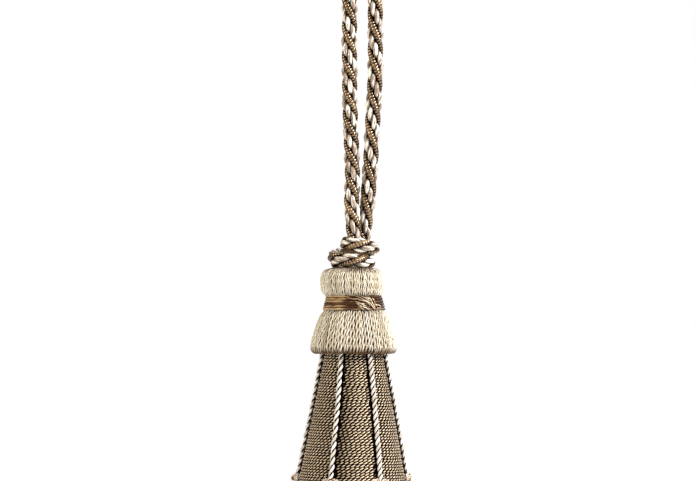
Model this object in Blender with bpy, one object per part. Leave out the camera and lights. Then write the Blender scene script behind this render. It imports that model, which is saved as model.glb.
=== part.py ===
"""A trimming tassel that hangs on a loop of twisted rope.

From the top: a rope loop with two legs, a knot of the same rope, a waisted head covered
with upright yarns, a band of threads round its waist, a long cone wound with fine cord,
six cords laid down the cone with a tuft at the end of each, and a two-layer fringe skirt.
Units are metres, +Z is up. The origin is the inner top of the rope loop, where a hook or
peg would carry it, and the tassel hangs straight below it. The front faces -Y.
"""
import math
from collections import namedtuple

import bmesh
import bpy
from mathutils import Matrix, Vector

MM = 0.001
GAP = 0.3 * MM

# Rope
ROPE_TIP_RADIUS = 4.9 * MM
ROPE_VALLEY_RADIUS = 4.0 * MM
ROPE_STRANDS = 4
ROPE_START_LEAD = 33.2 * MM
ROPE_END_LEAD = 42.6 * MM
ROPE_START_TWIST = math.radians(-42.5)
ROPE_STEP = 2.8 * MM
ROPE_SECTION_POINTS = 8
CURVE_PARTS = 24

# Heights of the tassel's pieces below the loop's inner top
HEAD_BOTTOM_Z = -263.8 * MM
CONE_BOTTOM_Z = -347.2 * MM
SKIRT_BOTTOM_Z = -434.0 * MM

# Knot
KNOT_ROPE_SCALE = 0.85
KNOT_ROPE_LEAD = 32.6 * MM
KNOT_START_TWIST = math.radians(46.0)
KNOT_STEP = 2.0 * MM
KNOT_ROUTE_ANGLE = 30.0
KNOT_CORE_SIDES = 24

# Head and band
HEAD_YARNS = 84
YARN_RELIEF = 0.45 * MM
BAND_TURNS = 5
BAND_TOP_Z = -229.0 * MM
BAND_BOTTOM_Z = -238.0 * MM
BAND_TOP_RADIUS = 16.7 * MM
BAND_BOTTOM_RADIUS = 19.0 * MM
BAND_THICKNESS = 0.9 * MM
BAND_RELIEF = 0.25 * MM
BAND_SIDES = 36

# Cone
CONE_TOP_RADIUS = 17.4 * MM
CONE_BOTTOM_RADIUS = 33.3 * MM
CONE_SIDES = 48
CONE_EDGE = 0.8 * MM
CONE_RING_SHARES = (0.0, 0.25, 0.5, 0.75)
CONE_SLOPE = math.atan2(CONE_BOTTOM_RADIUS - CONE_TOP_RADIUS, HEAD_BOTTOM_Z - CONE_BOTTOM_Z)

# Cords laid on the cone: a row for each, its angle from the front to the right
LaidCord = namedtuple("LaidCord", "angle bottom_z")
LAID_CORDS = (
    LaidCord(-90.0, -337.0 * MM),
    LaidCord(-23.0, -339.6 * MM),
    LaidCord(31.0, -339.6 * MM),
    LaidCord(90.0, -337.0 * MM),
    LaidCord(150.0, -338.4 * MM),
    LaidCord(-150.0, -338.4 * MM),
)
LAID_CORD_TIP_RADIUS = 1.65 * MM
LAID_CORD_VALLEY_RADIUS = 1.2 * MM
LAID_CORD_LEAD = 9.0 * MM
LAID_CORD_STEPS_PER_LEAD = 5
LAID_CORD_SECTION_POINTS = 6
LAID_CORD_GUIDE_SHARES = (0.0, 0.33, 0.67, 1.0)

# Tufts at the cords' ends
TUFT_WIDTH = 6.4 * MM
TUFT_DEPTH = 3.4 * MM
TUFT_KNOB_HEIGHT = 2.4 * MM
TUFT_COLUMNS = 4
TUFT_ROWS = 2
TUFT_TOP_TAPER = 0.7
TUFT_LENGTH = 21.0 * MM
TUFT_LENGTH_SHARE_VARIED = 0.12
TUFT_SPREAD = 2.3
TUFT_FLARE = 2.2
TUFT_ROOT_INSET = 0.2 * MM
TUFT_SECTIONS = 2

# Skirt: one row for each layer
SkirtLayer = namedtuple("SkirtLayer", "name inner_radius outer_radius strands flare")
SKIRT_LAYERS = (
    SkirtLayer("skirt_outer", 29.0 * MM, 33.0 * MM, 50, 3.0 * MM),
    SkirtLayer("skirt_inner", 24.6 * MM, 28.6 * MM, 42, 1.6 * MM),
)
SKIRT_SECTIONS = 2
SKIRT_BACKING_HEIGHT = 2.2 * MM
SKIRT_ROOT_INSET = 0.35 * MM
SKIRT_UNEVENNESS = 0.8 * MM
SKIRT_SWAY = 0.4 * MM

# Rope route, from the left leg's lower end, over the loop, to the right leg's lower end
ROPE_ROUTE_MM = (
    (0.8, -4.1, -193.2),
    (0.7, -4.0, -190.0),
    (0.1, -3.2, -183.0),
    (-0.5, -1.7, -174.4),
    (-0.2, -0.7, -163.6),
    (-0.1, 0.0, -152.8),
    (-1.2, 0.0, -124.0),
    (-1.7, 0.0, -102.4),
    (-1.8, 0.0, -76.0),
    (-1.8, 0.0, -56.0),
    (-3.0, 0.0, -42.1),
    (-6.5, 0.0, -36.0),
    (-10.9, 0.0, -32.1),
    (-17.3, 0.0, -25.3),
    (-20.0, 0.0, -15.3),
    (-17.3, 0.0, -5.3),
    (-10.0, 0.0, 2.0),
    (0.0, 0.0, 4.9),
    (10.0, 0.0, 2.0),
    (17.3, 0.0, -5.3),
    (20.0, 0.0, -15.3),
    (17.9, 0.0, -24.3),
    (14.5, 0.0, -32.4),
    (13.7, 0.0, -42.0),
    (13.7, 0.0, -60.0),
    (13.7, 0.0, -78.0),
    (13.7, 0.0, -95.2),
    (12.2, 0.0, -124.0),
    (11.3, 0.0, -142.0),
    (10.6, 0.0, -152.8),
    (9.8, 0.7, -163.6),
    (9.0, 1.7, -174.4),
    (7.9, 3.2, -183.0),
    (6.8, 4.0, -190.0),
    (6.7, 4.1, -193.2),
)

# The middle of the knot's rope: angle from +X in degrees, the rest in millimetres
KnotPoint = namedtuple("KnotPoint", "angle centre_x radius z")
KNOT_ROUTE_MM = (
    KnotPoint(105.0, 4.4, 3.5, -198.4),
    KnotPoint(140.0, 4.4, 6.8, -198.1),
    KnotPoint(180.0, 4.4, 7.7, -198.0),
    KnotPoint(270.0, 4.2, 7.8, -199.1),
    KnotPoint(360.0, 3.6, 8.6, -200.8),
    KnotPoint(450.0, 1.5, 9.2, -203.2),
    KnotPoint(540.0, -0.6, 10.2, -206.2),
    KnotPoint(630.0, -0.6, 10.2, -208.2),
    KnotPoint(720.0, -0.6, 10.2, -209.1),
    KnotPoint(810.0, -0.6, 9.6, -209.0),
    KnotPoint(870.0, -0.6, 9.2, -208.8),
    KnotPoint(930.0, -0.6, 8.6, -208.8),
    KnotPoint(990.0, -0.6, 4.0, -208.8),
)

# The knot's core, from the top to the underside
CoreRing = namedtuple("CoreRing", "centre_x radius z")
KNOT_CORE_MM = (
    CoreRing(4.4, 5.6, -193.75),
    CoreRing(3.6, 7.8, -199.0),
    CoreRing(1.6, 10.0, -203.4),
    CoreRing(-0.4, 10.6, -206.5),
    CoreRing(-0.6, 10.2, -210.0),
    CoreRing(-0.5, 8.8, -213.2),
)

# Head's outline from the top to the underside: radius and height
HEAD_PROFILE_MM = (
    (11.5, -213.6),
    (17.2, -214.6),
    (19.1, -218.0),
    (19.2, -222.4),
    (18.0, -228.9),
    (15.4, -229.0),
    (17.7, -238.0),
    (19.3, -238.1),
    (22.8, -246.2),
    (25.2, -255.0),
    (25.9, -260.4),
    (24.2, -263.8),
)

# How far the middle of the pieces strays sideways from the axis: height and offset
DRIFT_MM = (
    (-212.0, -0.2),
    (-228.9, -0.2),
    (-229.0, 0.7),
    (-238.0, 0.9),
    (-246.0, 0.6),
    (-262.0, 0.7),
    (-297.0, 0.6),
    (-328.0, 0.0),
    (-347.0, -0.4),
)

BROWN = (0.2, 0.13, 0.08)
CREAM = (0.72, 0.63, 0.46)
PALE_CREAM = (0.82, 0.78, 0.68)
ROPE_TAN = (0.36, 0.26, 0.17)


def clear_scene():
    """Remove every object of the open scene."""
    for old in list(bpy.data.objects):
        bpy.data.objects.remove(old, do_unlink=True)


def yarn_material(name, colour, roughness):
    """A Principled material of one colour for one sub-part."""
    material = bpy.data.materials.new(name)
    material.use_nodes = True
    shader = material.node_tree.nodes["Principled BSDF"]
    shader.inputs["Base Color"].default_value = (*colour, 1.0)
    shader.inputs["Roughness"].default_value = roughness
    shader.inputs["Metallic"].default_value = 0.0
    return material


def add_piece(name, bm, colour, roughness=0.7, sharp_angle=40.0):
    """Turn a bmesh into a named object with outward faces and smooth shading."""
    bmesh.ops.recalc_face_normals(bm, faces=bm.faces)
    mesh = bpy.data.meshes.new(name)
    bm.to_mesh(mesh)
    bm.free()
    mesh.shade_smooth()
    mesh.set_sharp_from_angle(angle=math.radians(sharp_angle))
    mesh.materials.append(yarn_material(name, colour, roughness))
    piece = bpy.data.objects.new(name, mesh)
    bpy.context.scene.collection.objects.link(piece)
    return piece


def table_value(rows, key):
    """Read a two-column table at a key, in straight lines between its rows."""
    if key >= rows[0][0]:
        return rows[0][1]
    for upper, lower in zip(rows, rows[1:]):
        if key >= lower[0]:
            share = (upper[0] - key) / (upper[0] - lower[0])
            return upper[1] + share * (lower[1] - upper[1])
    return rows[-1][1]


def drift(z):
    """Sideways stray of the tassel's middle at a height."""
    return table_value(DRIFT_MM, z / MM) * MM


def curve_point(p0, p1, p2, p3, t):
    """A point between p1 and p2 on the smooth curve through four points."""
    return 0.5 * (
        2.0 * p1
        + (p2 - p0) * t
        + (2.0 * p0 - 5.0 * p1 + 4.0 * p2 - p3) * t * t
        + (3.0 * p1 - p0 - 3.0 * p2 + p3) * t ** 3
    )


def smooth_route(points, step):
    """Points about one step apart on the smooth curve through the given points."""
    ends = [2.0 * points[0] - points[1], *points, 2.0 * points[-1] - points[-2]]
    fine = []
    for i in range(len(points) - 1):
        fine += [curve_point(*ends[i:i + 4], part / CURVE_PARTS) for part in range(CURVE_PARTS)]
    fine.append(points[-1])
    lengths = [0.0]
    for before, after in zip(fine, fine[1:]):
        lengths.append(lengths[-1] + (after - before).length)
    steps = max(2, round(lengths[-1] / step))
    route = []
    index = 0
    for number in range(steps + 1):
        wanted = lengths[-1] * number / steps
        while index < len(fine) - 2 and lengths[index + 1] < wanted:
            index += 1
        share = (wanted - lengths[index]) / (lengths[index + 1] - lengths[index])
        route.append(fine[index].lerp(fine[index + 1], min(share, 1.0)))
    return route


def lobed_section(points, lobes, tip_radius, valley_radius):
    """Corners of a rope's cross-section, with one tip for each strand."""
    section = []
    for number in range(points):
        angle = 2.0 * math.pi * number / points
        on_tip = number % (points // lobes) == 0
        radius = tip_radius if on_tip else valley_radius
        section.append((radius * math.cos(angle), radius * math.sin(angle)))
    return section


def sweep_rope(bm, route, section, twist, start_lead, end_lead):
    """Carry a cross-section along a route and cap its ends. A negative lead twists it to the left."""
    normal = Vector((0.0, 1.0, 0.0))
    rings = []
    for number, middle in enumerate(route):
        before = route[max(number - 1, 0)]
        after = route[min(number + 1, len(route) - 1)]
        tangent = (after - before).normalized()
        normal = (normal - tangent * normal.dot(tangent)).normalized()
        side = tangent.cross(normal)
        turn = Matrix.Rotation(twist, 3, tangent)
        ring = [bm.verts.new(middle + turn @ (normal * a + side * b)) for a, b in section]
        rings.append(ring)
        lead = start_lead + (end_lead - start_lead) * number / len(route)
        twist += 2.0 * math.pi * (route[1] - route[0]).length / lead
    for ring, following in zip(rings, rings[1:]):
        join_twisted_rings(bm, ring, following)
    bm.faces.new(rings[0])
    bm.faces.new(rings[-1])


def join_twisted_rings(bm, ring, following):
    """Triangles between two turned rings, split along the shorter diagonal to follow the twist."""
    count = len(ring)
    for i in range(count):
        j = (i + 1) % count
        if (ring[i].co - following[j].co).length < (ring[j].co - following[i].co).length:
            bm.faces.new((ring[i], ring[j], following[j]))
            bm.faces.new((ring[i], following[j], following[i]))
        else:
            bm.faces.new((ring[i], ring[j], following[i]))
            bm.faces.new((ring[j], following[j], following[i]))


def join_rings(bm, rings):
    """Faces between each ring of corners and the next."""
    for ring, following in zip(rings, rings[1:]):
        count = len(ring)
        for i in range(count):
            j = (i + 1) % count
            bm.faces.new((ring[i], ring[j], following[j], following[i]))


def rope_section(scale=1.0):
    """The rope's four-strand cross-section."""
    return lobed_section(
        ROPE_SECTION_POINTS, ROPE_STRANDS, ROPE_TIP_RADIUS * scale, ROPE_VALLEY_RADIUS * scale
    )


def make_hanging_cord():
    """The rope loop: strands twist to the left round its whole length."""
    points = [Vector(point) * MM for point in ROPE_ROUTE_MM]
    route = smooth_route(points, ROPE_STEP)
    bm = bmesh.new()
    sweep_rope(bm, route, rope_section(), ROPE_START_TWIST, -ROPE_START_LEAD, -ROPE_END_LEAD)
    add_piece("hanging_cord", bm, ROPE_TAN)


def knot_route():
    """Points along the rope that is wound twice round the neck, a part of a turn apart."""
    rows = []
    for start, end in zip(KNOT_ROUTE_MM, KNOT_ROUTE_MM[1:]):
        pieces = max(1, round((end.angle - start.angle) / KNOT_ROUTE_ANGLE))
        for piece in range(pieces):
            share = piece / pieces
            rows.append(KnotPoint(*(a + share * (b - a) for a, b in zip(start, end))))
    rows.append(KNOT_ROUTE_MM[-1])
    points = []
    for row in rows:
        angle = math.radians(row.angle)
        x = row.centre_x + row.radius * math.cos(angle)
        points.append(Vector((x, row.radius * math.sin(angle), row.z)) * MM)
    return points


def circle(bm, centre_x, radius, z, sides):
    """A level ring of corners."""
    ring = []
    for number in range(sides):
        angle = 2.0 * math.pi * number / sides
        ring.append(bm.verts.new((centre_x + radius * math.cos(angle), radius * math.sin(angle), z)))
    return ring


def make_knot():
    """Two wraps of rope round the neck, on the core that the legs run down into."""
    bm = bmesh.new()
    route = smooth_route(knot_route(), KNOT_STEP)
    section = rope_section(KNOT_ROPE_SCALE)
    sweep_rope(bm, route, section, KNOT_START_TWIST, -KNOT_ROPE_LEAD, -KNOT_ROPE_LEAD)
    knot = add_piece("knot", bm, ROPE_TAN)

    bm = bmesh.new()
    rings = []
    for row in KNOT_CORE_MM:
        rings.append(circle(bm, row.centre_x * MM, row.radius * MM, row.z * MM, KNOT_CORE_SIDES))
    join_rings(bm, rings)
    bm.faces.new(rings[0])
    bm.faces.new(rings[-1])
    core = add_piece("knot_core", bm, ROPE_TAN)
    core.hide_render = True
    core.display_type = "WIRE"

    union = knot.modifiers.new("core", "BOOLEAN")
    union.operation = "UNION"
    union.solver = "EXACT"
    union.use_self = True
    union.object = core


def make_head():
    """The waisted head, with one raised rib for each yarn that covers it."""
    bm = bmesh.new()
    columns = HEAD_YARNS * 2
    rings = []
    for radius, z in HEAD_PROFILE_MM:
        ring = []
        for number in range(columns):
            angle = 2.0 * math.pi * number / columns
            reach = radius * MM - (YARN_RELIEF if number % 2 else 0.0)
            place = Vector((reach * math.sin(angle) + drift(z * MM), -reach * math.cos(angle), z * MM))
            ring.append(bm.verts.new(place))
        rings.append(ring)
    join_rings(bm, rings)
    bm.faces.new(rings[0])
    bm.faces.new(rings[-1])
    add_piece("head", bm, CREAM)


def make_waist_band():
    """The turns of thread round the waist, a rounded ridge for each."""
    shares = [half_turn / (2 * BAND_TURNS) for half_turn in range(2 * BAND_TURNS + 1)]
    outline = [(share, 0.0 if number % 2 else -BAND_RELIEF) for number, share in enumerate(shares)]
    outline += [(1.0, -BAND_THICKNESS), (0.0, -BAND_THICKNESS)]
    height = BAND_TOP_Z - BAND_BOTTOM_Z - 2.0 * GAP
    bm = bmesh.new()
    rings = []
    for share, relief in outline:
        radius = BAND_TOP_RADIUS + share * (BAND_BOTTOM_RADIUS - BAND_TOP_RADIUS) + relief
        z = BAND_TOP_Z - GAP - share * height
        rings.append(circle(bm, drift(z), radius, z, BAND_SIDES))
    join_rings(bm, rings + rings[:1])
    add_piece("waist_band", bm, BROWN)


def cone_radius(z):
    """Radius of the wound cone's surface at a height."""
    share = (HEAD_BOTTOM_Z - z) / (HEAD_BOTTOM_Z - CONE_BOTTOM_Z)
    return CONE_TOP_RADIUS + share * (CONE_BOTTOM_RADIUS - CONE_TOP_RADIUS)


def make_cone():
    """The wound cone, with a softened lower edge."""
    top_z = HEAD_BOTTOM_Z - GAP
    levels = [top_z + share * (CONE_BOTTOM_Z - top_z) for share in CONE_RING_SHARES]
    levels.append(CONE_BOTTOM_Z + CONE_EDGE)
    bm = bmesh.new()
    rings = [circle(bm, drift(z), cone_radius(z), z, CONE_SIDES) for z in levels]
    underside = CONE_BOTTOM_RADIUS - CONE_EDGE
    rings.append(circle(bm, drift(CONE_BOTTOM_Z), underside, CONE_BOTTOM_Z, CONE_SIDES))
    join_rings(bm, rings)
    bm.faces.new(rings[0])
    bm.faces.new(rings[-1])
    add_piece("cone", bm, BROWN)


def on_cone(angle_degrees, z, lift):
    """A place over the cone's surface: the angle is measured from the front to the right."""
    angle = math.radians(angle_degrees)
    reach = cone_radius(z) + lift / math.cos(CONE_SLOPE)
    return Vector((reach * math.sin(angle) + drift(z), -reach * math.cos(angle), z))


def make_laid_cord(number, cord):
    """One two-ply cord that runs straight down the cone; its plies twist to the right."""
    lift = LAID_CORD_TIP_RADIUS + GAP
    top_z = HEAD_BOTTOM_Z - 2.0 * GAP
    levels = [top_z + share * (cord.bottom_z - top_z) for share in LAID_CORD_GUIDE_SHARES]
    guide = [on_cone(cord.angle, z, lift) for z in levels]
    route = smooth_route(guide, LAID_CORD_LEAD / LAID_CORD_STEPS_PER_LEAD)
    section = lobed_section(LAID_CORD_SECTION_POINTS, 2, LAID_CORD_TIP_RADIUS, LAID_CORD_VALLEY_RADIUS)
    bm = bmesh.new()
    sweep_rope(bm, route, section, 0.0, LAID_CORD_LEAD, LAID_CORD_LEAD)
    add_piece(f"cream_cord_{number}", bm, PALE_CREAM)


def hang_strands(bm, roots, inset, sections, place):
    """Draw a strand out of each root face; place(root, share) is the middle along a strand."""
    bmesh.ops.inset_individual(bm, faces=roots, thickness=inset)
    starts = [face.calc_center_median() for face in roots]
    middles = starts
    ends = roots
    for section in range(1, sections + 1):
        ends = bmesh.ops.extrude_discrete_faces(bm, faces=ends)["faces"]
        targets = [place(start, section / sections) for start in starts]
        for face, middle, target in zip(ends, middles, targets):
            for corner in face.verts:
                corner.co += target - middle
        middles = targets


def downward_faces(bm):
    """The faces that look straight down."""
    bmesh.ops.recalc_face_normals(bm, faces=bm.faces)
    return [face for face in bm.faces if face.normal.z < -0.99]


def make_tuft(number, cord):
    """A knob under a laid cord's end, with a small sheaf of strands that spreads below it."""
    bm = bmesh.new()
    bmesh.ops.create_grid(bm, x_segments=TUFT_COLUMNS, y_segments=TUFT_ROWS, size=0.5)
    for corner in bm.verts:
        corner.co = Vector((corner.co.x * TUFT_WIDTH, corner.co.y * TUFT_DEPTH, -TUFT_KNOB_HEIGHT))
    drawn = bmesh.ops.extrude_face_region(bm, geom=list(bm.faces))["geom"]
    for corner in [item for item in drawn if isinstance(item, bmesh.types.BMVert)]:
        corner.co = Vector((corner.co.x * TUFT_TOP_TAPER, corner.co.y, 0.0))

    def place(root, share):
        spread = 1.0 + (TUFT_SPREAD - 1.0) * math.sin(share * math.pi / 2.0)
        flare = 1.0 + TUFT_FLARE * share if root.y > 0.0 else 1.0
        wave = math.cos(9.0 * root.x / TUFT_WIDTH + number)
        length = TUFT_LENGTH * (1.0 - TUFT_LENGTH_SHARE_VARIED * wave)
        return Vector((root.x * spread, root.y * flare, root.z - length * share))

    hang_strands(bm, downward_faces(bm), TUFT_ROOT_INSET, TUFT_SECTIONS, place)

    turn = math.radians(cord.angle)
    outward = Vector((math.sin(turn), -math.cos(turn), 0.0))
    across = Vector((-math.cos(turn), -math.sin(turn), 0.0))
    up = Vector((0.0, 0.0, math.cos(CONE_SLOPE))) - outward * math.sin(CONE_SLOPE)
    proud = outward * math.cos(CONE_SLOPE) + Vector((0.0, 0.0, math.sin(CONE_SLOPE)))
    top = on_cone(cord.angle, cord.bottom_z, GAP + TUFT_DEPTH / 2.0) - up * 2.0 * GAP
    frame = Matrix((across, proud, up)).transposed().to_4x4()
    frame.translation = top
    bmesh.ops.transform(bm, matrix=frame, verts=bm.verts)
    add_piece(f"tuft_{number}", bm, BROWN)


def make_skirt_layer(layer):
    """A ring of backing with hanging strands round it."""
    top_z = CONE_BOTTOM_Z - GAP
    bottom_z = top_z - SKIRT_BACKING_HEIGHT
    middle_x = drift(bottom_z)
    outline = (
        (layer.outer_radius, top_z),
        (layer.outer_radius, bottom_z),
        (layer.inner_radius, bottom_z),
        (layer.inner_radius, top_z),
    )
    bm = bmesh.new()
    rings = [circle(bm, middle_x, radius, z, layer.strands) for radius, z in outline]
    join_rings(bm, rings + rings[:1])

    def place(root, share):
        angle = math.atan2(root.y, root.x - middle_x)
        sway = SKIRT_SWAY * share * (math.sin(7.0 * angle) + math.sin(17.0 * angle + 1.0))
        reach = math.hypot(root.x - middle_x, root.y) + layer.flare * share ** 1.5 + sway
        length = root.z - SKIRT_BOTTOM_Z - SKIRT_UNEVENNESS * (1.0 + math.sin(11.0 * angle + 2.0))
        return Vector((
            middle_x + reach * math.cos(angle),
            reach * math.sin(angle),
            root.z - length * share,
        ))

    hang_strands(bm, downward_faces(bm), SKIRT_ROOT_INSET, SKIRT_SECTIONS, place)
    add_piece(layer.name, bm, BROWN)


def main():
    clear_scene()
    make_hanging_cord()
    make_knot()
    make_head()
    make_waist_band()
    make_cone()
    for number, cord in enumerate(LAID_CORDS, start=1):
        make_laid_cord(number, cord)
        make_tuft(number, cord)
    for layer in SKIRT_LAYERS:
        make_skirt_layer(layer)


main()
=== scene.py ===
"""Looks of the trimming tassel: every yarn is built ply by ply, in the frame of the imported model.

Sizes in the tables are millimetres, in the frame of the part: +Z up, the front faces -Y, and the
origin is the inner top of the rope loop. Angles round the axis run from the front to the right.
"""

import math

import bpy
import numpy as np
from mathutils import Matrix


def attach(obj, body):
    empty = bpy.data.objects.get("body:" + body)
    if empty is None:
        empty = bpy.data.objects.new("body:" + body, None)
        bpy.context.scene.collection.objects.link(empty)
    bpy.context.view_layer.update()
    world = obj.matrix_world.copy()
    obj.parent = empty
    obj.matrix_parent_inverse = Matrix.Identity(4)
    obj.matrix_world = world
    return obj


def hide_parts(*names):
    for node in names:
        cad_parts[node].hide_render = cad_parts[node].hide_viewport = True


MM = 0.001
TURN = 2.0 * math.pi

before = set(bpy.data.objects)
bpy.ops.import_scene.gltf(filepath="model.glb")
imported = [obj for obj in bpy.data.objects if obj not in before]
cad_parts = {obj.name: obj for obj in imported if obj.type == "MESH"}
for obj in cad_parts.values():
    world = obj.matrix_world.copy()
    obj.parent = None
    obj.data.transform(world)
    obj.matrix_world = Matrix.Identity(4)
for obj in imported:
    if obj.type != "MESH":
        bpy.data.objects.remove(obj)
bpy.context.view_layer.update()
scene = bpy.context.scene

# Rope; ROPE_LEADS is shares of the route and the lead at each, below 0 for a left-hand twist
ROPE_OUTER = 4.75
ROPE_LEADS = ((0.0, 0.34, 0.5, 0.64, 1.0), (-33.2, -36.4, -45.75, -43.5, -41.0))
ROPE_PHASE = math.radians(-42.5)
STRAND_CENTRE = 2.7
GIMP_RADIUS = 1.9
GIMP_WRAP_PITCH = 1.7
GIMP_RIDGE = 0.3
GIMP_SIDES = 12

# Cream strands: number of plies, radius of a ply, distance of its middle, lead
LEG_PLIES = (2, 1.42, 0.92, 10.4)
KNOT_PLIES = (2, 1.56, 0.92, 12.0)

# Knot; the front angle is where a brown strand faces the front
KNOT_SCALE = 0.92
KNOT_LEAD = 32.6
KNOT_FRONT_ANGLE = 645.0

# Head
HEAD_YARNS = 84
HEAD_PLY_LEAD = 9.6

# Cone
HEAD_BOTTOM_Z = -263.8
CONE_BOTTOM_Z = -347.2
CONE_TOP_RADIUS = 17.4
CONE_BOTTOM_RADIUS = 33.3
CONE_SLOPE = math.atan2(CONE_BOTTOM_RADIUS - CONE_TOP_RADIUS, HEAD_BOTTOM_Z - CONE_BOTTOM_Z)
ROW_PITCH = 1.65
ROW_LEAD = 5.7
ROW_SLIP = 0.3
ROWS = 50

# Laid cords and tufts: a row for each cord, its angle from the front and the height of its end
LAID_CORDS = (
    (-90.0, -337.0),
    (-23.0, -339.6),
    (31.0, -339.6),
    (90.0, -337.0),
    (150.0, -338.4),
    (-150.0, -338.4),
)
LAID_PLY_RADIUS = 0.88
LAID_PLY_CENTRE = 0.7
LAID_CORD_LEADS = (8.8, 9.4, 7.6, 7.8, 8.8, 8.2)

# How far a cord's shade reaches on the rows, to its left and to its right
CORD_SHADE_REACH = ((2.2, 3.2), (1.9, 1.95), (2.9, 1.7), (3.2, 2.2), (2.2, 2.2), (2.2, 2.2))

# Painted light and shade on the rows, by their tone and by how much light they keep:
# angle from the front in degrees, and value
ROW_PAINTED_TONES = (
    (-180.0, -100.0, -80.0, -30.0, -18.0, -5.0, 6.0, 22.0, 36.0, 70.0, 100.0, 180.0),
    (0.5, 0.6, 0.7, 0.65, 0.35, 0.75, 0.95, 0.8, 0.7, 0.7, 0.5, 0.5),
)
ROW_LIGHT = (
    (-180.0, -100.0, -80.0, -30.0, -20.0, -8.0, 6.0, 14.0, 24.0, 36.0, 100.0, 180.0),
    (1.0, 1.0, 1.0, 0.98, 0.87, 0.95, 1.0, 1.05, 1.05, 0.97, 1.0, 1.0),
)

# Rope route, from the left leg's lower end, over the loop, to the right leg's lower end
ROPE_ROUTE_MM = (
    (0.8, -4.1, -193.2),
    (0.7, -4.0, -190.0),
    (0.1, -3.2, -183.0),
    (-0.5, -1.7, -174.4),
    (-0.2, -0.7, -163.6),
    (-0.1, 0.0, -152.8),
    (-1.2, 0.0, -124.0),
    (-1.7, 0.0, -102.4),
    (-1.8, 0.0, -76.0),
    (-1.8, 0.0, -56.0),
    (-3.0, 0.0, -42.1),
    (-6.5, 0.0, -36.0),
    (-10.9, 0.0, -32.1),
    (-17.3, 0.0, -25.3),
    (-20.0, 0.0, -15.3),
    (-17.3, 0.0, -5.3),
    (-10.0, 0.0, 2.0),
    (0.0, 0.0, 4.9),
    (10.0, 0.0, 2.0),
    (17.3, 0.0, -5.3),
    (20.0, 0.0, -15.3),
    (17.9, 0.0, -24.3),
    (14.5, 0.0, -32.4),
    (13.7, 0.0, -42.0),
    (13.7, 0.0, -60.0),
    (13.7, 0.0, -78.0),
    (13.7, 0.0, -95.2),
    (12.2, 0.0, -124.0),
    (11.3, 0.0, -142.0),
    (10.6, 0.0, -152.8),
    (9.8, 0.7, -163.6),
    (9.0, 1.7, -174.4),
    (7.9, 3.2, -183.0),
    (6.8, 4.0, -190.0),
    (6.7, 4.1, -193.2),
)

# The middle of the knot's rope: angle from +X in degrees, centre x, radius, height
KNOT_ROUTE_MM = (
    (105.0, 4.4, 3.5, -198.4),
    (140.0, 4.4, 6.8, -198.1),
    (180.0, 4.4, 7.7, -198.0),
    (270.0, 4.2, 7.8, -199.1),
    (360.0, 3.6, 8.6, -200.8),
    (450.0, 1.5, 9.2, -203.2),
    (540.0, -0.6, 10.2, -206.2),
    (630.0, -0.6, 10.2, -208.2),
    (720.0, -0.6, 10.2, -209.1),
    (810.0, -0.6, 9.6, -209.0),
    (870.0, -0.6, 9.2, -208.8),
    (930.0, -0.6, 8.6, -208.8),
    (990.0, -0.6, 4.0, -208.8),
)

# The knot's core: centre x, radius, height
KNOT_CORE_MM = (
    (4.0, 1.0, -195.4),
    (4.0, 3.6, -195.6),
    (4.2, 6.2, -196.6),
    (3.6, 7.6, -199.6),
    (1.6, 10.2, -203.4),
    (-0.4, 10.4, -206.5),
    (-0.6, 10.0, -210.0),
    (-0.5, 8.8, -213.2),
)

# Outer surface of the head's yarns from under the knot to under the rim: radius and height
HEAD_LAY_MM = (
    (6.0, -211.4),
    (10.0, -212.1),
    (13.6, -213.0),
    (16.6, -214.1),
    (18.4, -216.0),
    (19.1, -218.8),
    (19.25, -221.6),
    (19.0, -224.6),
    (18.2, -227.4),
    (16.6, -229.4),
    (15.9, -232.0),
    (16.8, -235.4),
    (18.4, -238.4),
    (20.4, -241.4),
    (22.6, -246.8),
    (24.5, -252.6),
    (25.7, -257.8),
    (26.0, -260.8),
    (25.4, -262.9),
    (23.6, -264.2),
    (19.6, -264.2),
)

# How far the middle of the pieces strays sideways from the axis: height and offset
DRIFT_MM = (
    (-212.0, -0.2),
    (-227.0, -0.1),
    (-230.5, 0.9),
    (-238.0, 0.9),
    (-246.0, 0.6),
    (-262.0, 0.7),
    (-297.0, 0.6),
    (-328.0, 0.0),
    (-347.0, -0.4),
)


# Lines, frames and twist

CURVE_STEPS = 40


def unit(vectors):
    """The vectors at length 1."""
    return vectors / np.maximum(np.linalg.norm(vectors, axis=-1, keepdims=True), 1e-9)


def smooth_line(points, step):
    """Points about one step apart on a smooth curve through the given points."""
    points = np.array(points, dtype=float)
    ends = np.vstack([2 * points[0] - points[1], points, 2 * points[-1] - points[-2]])
    t = np.linspace(0.0, 1.0, CURVE_STEPS, endpoint=False)[:, None]
    fine = []
    for p0, p1, p2, p3 in zip(ends, ends[1:], ends[2:], ends[3:]):
        fine.append(0.5 * (
            2 * p1 + (p2 - p0) * t + (2 * p0 - 5 * p1 + 4 * p2 - p3) * t ** 2
            + (3 * p1 - p0 - 3 * p2 + p3) * t ** 3
        ))
    fine = np.vstack(fine + [points[-1:]])
    run = run_length(fine)
    count = max(2, int(round(run[-1] / step)))
    wanted = np.linspace(0.0, run[-1], count + 1)
    return np.stack([np.interp(wanted, run, fine[:, i]) for i in range(points.shape[1])], axis=-1)


def run_length(lines):
    """Distance run along each line."""
    steps = np.linalg.norm(np.diff(lines, axis=-2), axis=-1)
    return np.concatenate([np.zeros(steps.shape[:-1] + (1,)), np.cumsum(steps, axis=-1)], axis=-1)


def line_frames(lines, guide):
    """Tangent, normal and side at each point; the normal keeps to the guide direction."""
    tangent = unit(np.gradient(lines, axis=-2))
    guide = np.broadcast_to(guide, lines.shape)
    normal = unit(guide - tangent * np.sum(guide * tangent, axis=-1, keepdims=True))
    return tangent, normal, np.cross(tangent, normal)


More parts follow.
